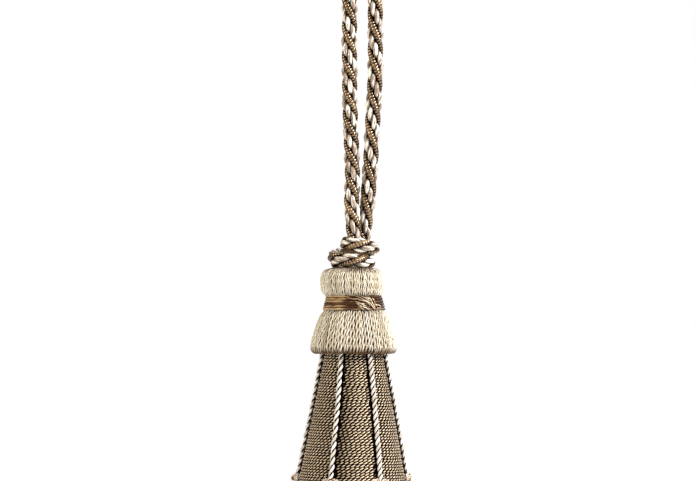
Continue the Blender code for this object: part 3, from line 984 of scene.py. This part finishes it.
def row_twist(turns):
    """Turn of the rows' plies; at the front each row's crests stand a little beside those above."""
    rng = np.random.default_rng(TWIST_SEED)
    counts = [0.0]
    for row in range(-1, ROWS + 1):
        length = TURN * cone_radius(row_height(row + 0.5))
        slip = ROW_SLIP + rng.normal(0.0, SLIP_SPREAD)
        if rng.uniform() < SLIP_JUMP_CHANCE:
            slip += SLIP_JUMP
        counts.append(counts[-1] + round(2.0 * length / ROW_LEAD) / 2.0 - slip / ROW_LEAD)
    return -TURN * np.interp(turns, np.arange(-1, ROWS + 2), counts)


def cord_shade(angle, radius):
    """Share of light on the rows: less where they run under the laid cords."""
    shade = np.ones_like(angle)
    for (cord_angle, _), (left, right) in zip(LAID_CORDS, CORD_SHADE_REACH):
        away = (angle - math.radians(cord_angle) + math.pi) % TURN - math.pi
        away = away * radius
        width = np.where(away < 0.0, left, right)
        shade = shade * (1.0 - CORD_SHADE * np.exp(-np.abs(away / width) ** CORD_SHADE_EDGE))
    return shade


def lay_cone_rows(name, first_turn, last_turn):
    """Close turns of two-ply cord on a part of the cone."""
    yarns = Yarns()
    middle_turn = 0.5 * (first_turn + last_turn)
    mean = cone_radius(HEAD_BOTTOM_Z - MEAN_ROW_BELOW - ROW_PITCH * middle_turn)
    steps = int((last_turn - first_turn) * TURN * mean / (ROW_LEAD / ROW_STEPS_PER_LEAD))
    turns = np.linspace(first_turn, last_turn, steps)
    z = row_height(turns)
    angle = TURN * turns
    stray = ROW_STRAY * waves(turns * ROW_STRAY_IN_TURN, *ROW_STRAY_WAVES)[0]
    line = around(angle, cone_radius(z) - ROW_BELOW + stray, z + stray)
    slope = np.full_like(z, math.sin(CONE_SLOPE))
    out = np.stack([
        np.sin(angle) * math.cos(CONE_SLOPE), -np.cos(angle) * math.cos(CONE_SLOPE), slope
    ], axis=-1)

    # Painted light and shade by angle from the front, and painted shade beside the laid cords
    from_front = np.degrees((angle + math.pi) % TURN - math.pi)
    shade = (cord_shade(angle, cone_radius(z)) * np.interp(from_front, *ROW_LIGHT))[None, :, None]
    tone = np.interp(from_front, *ROW_PAINTED_TONES)[None, :, None]

    def depth(points):
        height = np.sum((points - line[None, :, None]) * out[None, :, None], axis=-1)
        return (0.5 + 0.5 * height / (ROW_PLY_RADIUS + ROW_PLY_CENTRE)) * shade

    uneven = TWIST_STRAY * waves(turns * TWIST_STRAY_IN_TURN, *TWIST_WAVES)[0]
    for ply in range(2):
        turn = math.pi * ply + row_twist(turns) + uneven
        ply_line, ply_out = wind(line, out, np.full(len(line), ROW_PLY_CENTRE), turn)
        ply_tone = tone + ROW_PLY_TONES * (ply - 0.5)
        yarns.tubes(ply_line, ply_out, ROW_PLY_RADIUS, ROW_PLY_SIDES, 0, depth, tone=ply_tone)
    # The core under the rows has depth 0, the hollow colour: a dark sheet that stands for painted shade
    # between the rows
    ends = (z[0] + CONE_CORE_MARGIN, z[-1] - CONE_CORE_MARGIN)
    core = [(cone_radius(end) - CONE_CORE_BELOW, end) for end in ends]
    yarns.turned(core, CONE_CORE_SIDES, depth=0.0)
    return yarns.piece(name, (CONE_BROWN,))


for name, first, last in (("cone_rows_top", -0.7, 27.0), ("cone_rows_bottom", 27.0, float(ROWS))):
    rows_piece = lay_cone_rows(name, first, last)
    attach(rows_piece, "root")
    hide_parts("cone")


# The laid cords

LAID_CORD_STEPS = 120
LAID_CORD_SIDES = 10
LAID_CORD_STRAY = 0.12
LAID_CORD_SEED = 60
LAID_CORD_PERIODS = (31.0, 13.0)

# A cord's top is hidden by the rim and its end by the tuft: how far it runs on at each
LAID_CORD_ABOVE = 0.8
LAID_CORD_BELOW = 2.6

# Lift of a cord's middle off the cone, and how it climbs over the tuft's knob
LAID_CORD_LIFT = 1.25
KNOB_CLIMB = 2.4
KNOB_CLIMB_START = 2.2
KNOB_CLIMB_LENGTH = 3.4
KNOB_CLIMB_POWER = 1.5

# Shade of a cord: more light at its flanks, and less where it faces the cone
FLANK_LIGHT = 0.35
UNDERSIDE_DEPTH = 0.96
UNDERSIDE_SLOPE = 0.6


def lay_cord(number, angle_degrees, bottom_z):
    """One two-ply cream cord that runs straight down the cone and over its tuft's knob."""
    yarns = Yarns()
    z = np.linspace(HEAD_BOTTOM_Z + LAID_CORD_ABOVE, bottom_z - LAID_CORD_BELOW, LAID_CORD_STEPS)
    angle = math.radians(angle_degrees)
    climb = np.clip((bottom_z + KNOB_CLIMB_START - z) / KNOB_CLIMB_LENGTH, 0.0, 1.0)
    lift = LAID_CORD_LIFT + KNOB_CLIMB * climb ** KNOB_CLIMB_POWER
    wander = waves(z, LAID_CORD_SEED + number, LAID_CORD_PERIODS)[0] * LAID_CORD_STRAY
    line = around(angle + wander / cone_radius(z), cone_radius(z) + lift / math.cos(CONE_SLOPE), z)
    out = np.array([
        math.sin(angle) * math.cos(CONE_SLOPE), -math.cos(angle) * math.cos(CONE_SLOPE),
        math.sin(CONE_SLOPE),
    ])
    outer = LAID_PLY_RADIUS + LAID_PLY_CENTRE
    along = unit(line[-1] - line[0])
    at_side = abs(abs(angle_degrees) - 90.0) < 1.0
    beside = out if at_side else np.cross(out, along)

    def depth(points):
        from_line = points - line[None, :, None]
        height = np.sum(from_line * out, axis=-1) / outer
        sideways = np.sum(from_line * beside, axis=-1) / outer
        raised = np.linalg.norm(from_line, axis=-1) / outer + FLANK_LIGHT * sideways ** 2
        return np.minimum(raised, UNDERSIDE_DEPTH + UNDERSIDE_SLOPE * height)

    for ply in range(2):
        turn = math.pi * ply + number + twist_angles(line, LAID_CORD_LEADS[number - 1])
        ply_line, ply_out = wind(line, out, np.full(len(line), LAID_PLY_CENTRE), turn)
        yarns.tubes(ply_line, ply_out, LAID_PLY_RADIUS, LAID_CORD_SIDES, 0, depth)
    return yarns.piece(f"laid_cord_{number}", (CORD_CREAM,))


for number, (angle, bottom) in enumerate(LAID_CORDS, start=1):
    cord_piece = lay_cord(number, angle, bottom)
    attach(cord_piece, "root")
    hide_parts(f"cream_cord_{number}")


# The tufts

TUFT_WIDTH = 6.4
TUFT_DEPTH = 3.4
TUFT_BELOW_CONE = 0.3
TUFT_KNOB_HEIGHT = 2.4
TUFT_COLUMNS = 4
TUFT_ROWS = 2
TUFT_LENGTH = 21.0
TUFT_SPREAD = 2.3
TUFT_FLARE = 2.2
TUFT_STEPS = 46
TUFT_YARN_SIDES = 7
TUFT_LENGTH_SPREAD = 0.12
TUFT_LENGTH_WAVES = 9.0

# A hanging yarn: radius and distance of a ply, lead, reach of its shade, and its last thinning rows
TUFT_PLY = (0.66, 0.6, 5.5)
TUFT_SHADE_REACH = 1.3
TUFT_TIP = (0.9, 0.6, 0.1)

# Small loops at each side of a tuft's knob: slot, middle, half width, height, how far proud
TUFT_LOOPS = (
    (0, 2.5, 0.95, 4.2, -0.5),
    (1, 3.9, 0.9, 3.6, -0.8),
)
TUFT_LOOP_PLY = (0.5, 0.42, 4.6)
TUFT_LOOP_STEPS = 24
TUFT_LOOP_DROP = 3.2
TUFT_LOOP_DEPTH = 0.95

# Binding round the knob: share of the tuft's width at each turn, and of its depth
BINDING_WIDTHS = (0.7, 0.8, 0.9)
BINDING_DEPTH = 0.8
BINDING_STEPS = 40
BINDING_SIDES = 6
BINDING_RADIUS = 0.5
BINDING_TOP = 0.6
BINDING_PITCH = 0.8


def tuft_yarns(number, top, across, proud, up):
    """Middle lines of a tuft's hanging yarns, and the material slot of each."""
    share = np.linspace(0.0, 1.0, TUFT_STEPS)
    lines = []
    slots = []
    for column in range(TUFT_COLUMNS):
        for row in range(TUFT_ROWS):
            x = TUFT_WIDTH * ((column + 0.5) / TUFT_COLUMNS - 0.5)
            y = TUFT_DEPTH * ((row + 0.5) / TUFT_ROWS - 0.5)
            spread = 1.0 + (TUFT_SPREAD - 1.0) * np.sin(share * math.pi / 2)
            flare = 1.0 + TUFT_FLARE * share * row
            uneven = TUFT_LENGTH_SPREAD * math.cos(TUFT_LENGTH_WAVES * -x / TUFT_WIDTH + number)
            length = TUFT_LENGTH * (1.0 - uneven)
            drop = -TUFT_KNOB_HEIGHT - length * share
            lines.append(
                top + across * (x * spread)[:, None] + proud * (y * flare)[:, None] + up * drop[:, None]
            )
            slots.append((column + row + number) % 2)
    return lines, slots


def lay_tuft(number, angle_degrees, cord_bottom):
    """A bound knob under a cord's end, small loops at its sides, and two-ply yarns below it."""
    yarns = Yarns()
    turn = math.radians(angle_degrees)
    outward = np.array([math.sin(turn), -math.cos(turn), 0.0])
    across = np.array([math.cos(turn), math.sin(turn), 0.0])
    up = np.array([0.0, 0.0, math.cos(CONE_SLOPE)]) - outward * math.sin(CONE_SLOPE)
    proud = outward * math.cos(CONE_SLOPE) + np.array([0.0, 0.0, math.sin(CONE_SLOPE)])
    lift = (TUFT_BELOW_CONE + TUFT_DEPTH / 2) / math.cos(CONE_SLOPE)
    top = around(turn, cone_radius(cord_bottom) + lift, cord_bottom)

    def lay_plies(lines, sizes, thin, slot, depth):
        radius, centre, lead = sizes
        for ply in range(2):
            angles = math.pi * ply + twist_angles(lines, lead)
            line, ply_out = wind(lines, proud, np.broadcast_to(centre * thin, angles.shape), angles)
            yarns.tubes(line, ply_out, radius * thin, TUFT_YARN_SIDES, slot, depth)

    lines, slots = tuft_yarns(number, top, across, proud, up)
    thin = np.ones(TUFT_STEPS)
    thin[-len(TUFT_TIP):] = TUFT_TIP
    for slot in (0, 1):
        chosen = np.array([line for line, pick in zip(lines, slots) if pick == slot])

        def depth(points):
            return np.linalg.norm(points - chosen[:, :, None], axis=-1) / TUFT_SHADE_REACH

        lay_plies(chosen, TUFT_PLY, thin, slot, depth)
    arch = np.linspace(0.0, math.pi, TUFT_LOOP_STEPS)
    even = np.ones(TUFT_LOOP_STEPS)
    for slot, middle, width, height, forward in TUFT_LOOPS:
        for side in (-1.0, 1.0):
            x = side * (middle + width * np.cos(arch))
            drop = height * np.sin(arch) - TUFT_LOOP_DROP
            loop = top + across * x[:, None] + proud * forward + up * drop[:, None]
            lay_plies(
                loop, TUFT_LOOP_PLY, even, slot,
                lambda points: np.full(points.shape[:3], TUFT_LOOP_DEPTH),
            )
    ring = TURN * np.arange(BINDING_STEPS + 1) / BINDING_STEPS
    bindings = []
    for row, width in enumerate(BINDING_WIDTHS):
        x = 0.5 * TUFT_WIDTH * width * np.cos(ring)
        y = 0.5 * TUFT_DEPTH * BINDING_DEPTH * np.sin(ring)
        drop = -BINDING_TOP - row * BINDING_PITCH
        bindings.append(top + across * x[:, None] + proud * y[:, None] + up * drop)
    bindings = np.array(bindings)

    def depth(points):
        return np.linalg.norm(points - bindings[:, :, None], axis=-1) / BINDING_RADIUS

    yarns.tubes(bindings, up, BINDING_RADIUS, BINDING_SIDES, 0, depth)
    return yarns.piece(f"tuft_yarns_{number}", (CONE_BROWN, CORD_CREAM))


for number, (angle, bottom) in enumerate(LAID_CORDS, start=1):
    tuft_piece = lay_tuft(number, angle, bottom)
    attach(tuft_piece, "root")
    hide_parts(f"tuft_{number}")


# The skirt

SKIRT_BOTTOM_Z = -434.0

# A layer: its node, inner and outer radius, fringe cords, and how far it flares
SKIRT_LAYERS = (
    ("skirt_outer", 29.0, 33.0, 50, 3.0),
    ("skirt_inner", 24.6, 28.6, 42, 1.6),
)
INNERMOST_LAYER = (20.0, 24.4, 34, 0.8)
SKIRT_BELOW_CONE = 0.3
SKIRT_BACKING_HEIGHT = 2.2
HEADING_EDGE = 0.3
HEADING_EDGE_TOP = 0.4
HEADING_EDGE_BOTTOM = 0.2
HEADING_SIDES = 96
HEADING_DEPTH = 0.8

# A fringe cord: fullness, rows, lead, sway, flare, unevenness, wander, and its last thinning rows
FRINGE_FULLNESS = 1.22
FRINGE_ROWS = 80
FRINGE_LEAD = 7.5
FRINGE_SWAY = 0.4
FRINGE_SWAY_WAVES = (7.0, 17.0)
FRINGE_FLARE_POWER = 1.5
FRINGE_START = 0.5
FRINGE_UNEVEN = 0.8
FRINGE_UNEVEN_WAVES = 11.0
FRINGE_SEED = 80
FRINGE_WANDER = 0.012
FRINGE_WANDER_PERIODS = (1.3, 0.6)
FRINGE_SIDES = 6
FRINGE_TIP = (0.95, 0.8, 0.5, 0.06)

# Shares of a fringe cord's radius: its ply, the distance of the ply's middle, and reach of the shade
FRINGE_PLY_SHARE = 0.52
FRINGE_CENTRE_SHARE = 0.48
FRINGE_SHADE_SHARE = 0.98


def lay_skirt(yarns, inner, outer, strands, flare):
    """A ring of twisted fringe cords that hang from a narrow heading."""
    top_z = CONE_BOTTOM_Z - SKIRT_BELOW_CONE
    start_z = top_z - SKIRT_BACKING_HEIGHT
    middle_x = drift(start_z)
    middle = 0.5 * (inner + outer)
    angle = TURN * (np.arange(strands)[:, None] + 0.5) / strands
    share = np.linspace(0.0, 1.0, FRINGE_ROWS)[None]
    slow, quick = FRINGE_SWAY_WAVES
    sway = FRINGE_SWAY * share * (np.sin(slow * angle) + np.sin(quick * angle + 1.0))
    reach = middle + flare * share ** FRINGE_FLARE_POWER + sway
    bottom = SKIRT_BOTTOM_Z + FRINGE_UNEVEN * (1.0 + np.sin(FRINGE_UNEVEN_WAVES * angle + 2.0))
    z = start_z + FRINGE_START + share * (bottom - start_z - FRINGE_START)
    wander = waves(share[0], FRINGE_SEED + strands, FRINGE_WANDER_PERIODS, strands)
    wander = wander * FRINGE_WANDER * share
    lines = np.stack([
        middle_x + reach * np.cos(angle + wander), reach * np.sin(angle + wander), z
    ], axis=-1)
    out = unit(lines * (1.0, 1.0, 0.0) - (middle_x, 0.0, 0.0))
    half = TURN * middle / strands * 0.5 * FRINGE_FULLNESS
    thin = np.ones(FRINGE_ROWS)
    thin[-len(FRINGE_TIP):] = FRINGE_TIP

    def depth(points):
        return np.linalg.norm(points - lines[:, :, None], axis=-1) / (half * FRINGE_SHADE_SHARE)

    for ply in range(2):
        turn = math.pi * ply + angle + twist_angles(lines, FRINGE_LEAD)
        centre = np.broadcast_to(half * FRINGE_CENTRE_SHARE * thin, turn.shape)
        line, ply_out = wind(lines, out, centre, turn)
        yarns.tubes(line, ply_out, half * FRINGE_PLY_SHARE * thin, FRINGE_SIDES, 0, depth)
    heading = [
        (inner, top_z), (outer - HEADING_EDGE, top_z), (outer, top_z - HEADING_EDGE_TOP),
        (outer, start_z + HEADING_EDGE_BOTTOM), (outer - HEADING_EDGE, start_z), (inner, start_z),
        (inner, top_z),
    ]
    yarns.turned(heading, HEADING_SIDES, depth=HEADING_DEPTH)


for node, *sizes in SKIRT_LAYERS:
    fringe = Yarns()
    lay_skirt(fringe, *sizes)
    if node == "skirt_inner":
        lay_skirt(fringe, *INNERMOST_LAYER)
    skirt_piece = fringe.piece(f"{node}_fringe", (SKIRT_BROWN,))
    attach(skirt_piece, "root")
    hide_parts(node)


# Floor and light, in metres

FLOOR_Z = -0.446
FLOOR_REACH = 0.75
LIGHT_AIM_Z = -0.25
WORLD_LIGHT = 0.19

# Lights: name, degrees round from the front, degrees up, distance, size, watts, colour
LIGHTS = (
    ("key", 60.0, 32.0, 1.2, 0.3, 26.0, (1.0, 1.0, 1.0)),
    ("fill", -65.0, 25.0, 1.3, 0.5, 12.4, (1.0, 0.91, 0.74)),
    ("top", 0.0, 90.0, 2.2, 3.0, 30.0, (1.0, 1.0, 1.0)),
    ("back", 165.0, 28.0, 1.6, 0.8, 16.0, (1.0, 1.0, 1.0)),
)

floor_mesh = bpy.data.meshes.new("floor")
floor_mesh.from_pydata(
    [
        (-FLOOR_REACH, -FLOOR_REACH, FLOOR_Z), (FLOOR_REACH, -FLOOR_REACH, FLOOR_Z),
        (FLOOR_REACH, FLOOR_REACH, FLOOR_Z), (-FLOOR_REACH, FLOOR_REACH, FLOOR_Z),
    ],
    [], [(0, 1, 2, 3)],
)
floor_mesh.materials.append(FLOOR_PALE)
floor = bpy.data.objects.new("floor", floor_mesh)
scene.collection.objects.link(floor)


def area_light(name, azimuth, elevation, distance, size, watts, colour):
    """A soft square light that faces the tassel's middle."""
    data = bpy.data.lights.new(name, "AREA")
    data.shape = "SQUARE"
    data.size = size
    data.energy = watts
    data.color = colour
    lamp = bpy.data.objects.new(name, data)
    scene.collection.objects.link(lamp)
    turn, rise = math.radians(azimuth), math.radians(elevation)
    lamp.location = (
        distance * math.sin(turn) * math.cos(rise),
        -distance * math.cos(turn) * math.cos(rise),
        LIGHT_AIM_Z + distance * math.sin(rise),
    )
    lamp.rotation_euler = (math.pi / 2 - rise, 0.0, turn)


for row in LIGHTS:
    area_light(*row)


def light_world():
    """A white world: full for the camera, dim for what it lights."""
    world = bpy.data.worlds.new("studio")
    scene.world = world
    world.use_nodes = True
    nodes = world.node_tree.nodes
    link = world.node_tree.links.new
    background = nodes["Background"]
    rays = nodes.new("ShaderNodeLightPath")
    levels = nodes.new("ShaderNodeMapRange")
    levels.inputs["To Min"].default_value = WORLD_LIGHT
    levels.inputs["To Max"].default_value = 1.0
    link(rays.outputs["Is Camera Ray"], levels.inputs["Value"])
    link(levels.outputs["Result"], background.inputs["Strength"])
    background.inputs["Color"].default_value = (1.0, 1.0, 1.0, 1.0)


light_world()
scene.view_settings.view_transform = "Standard"
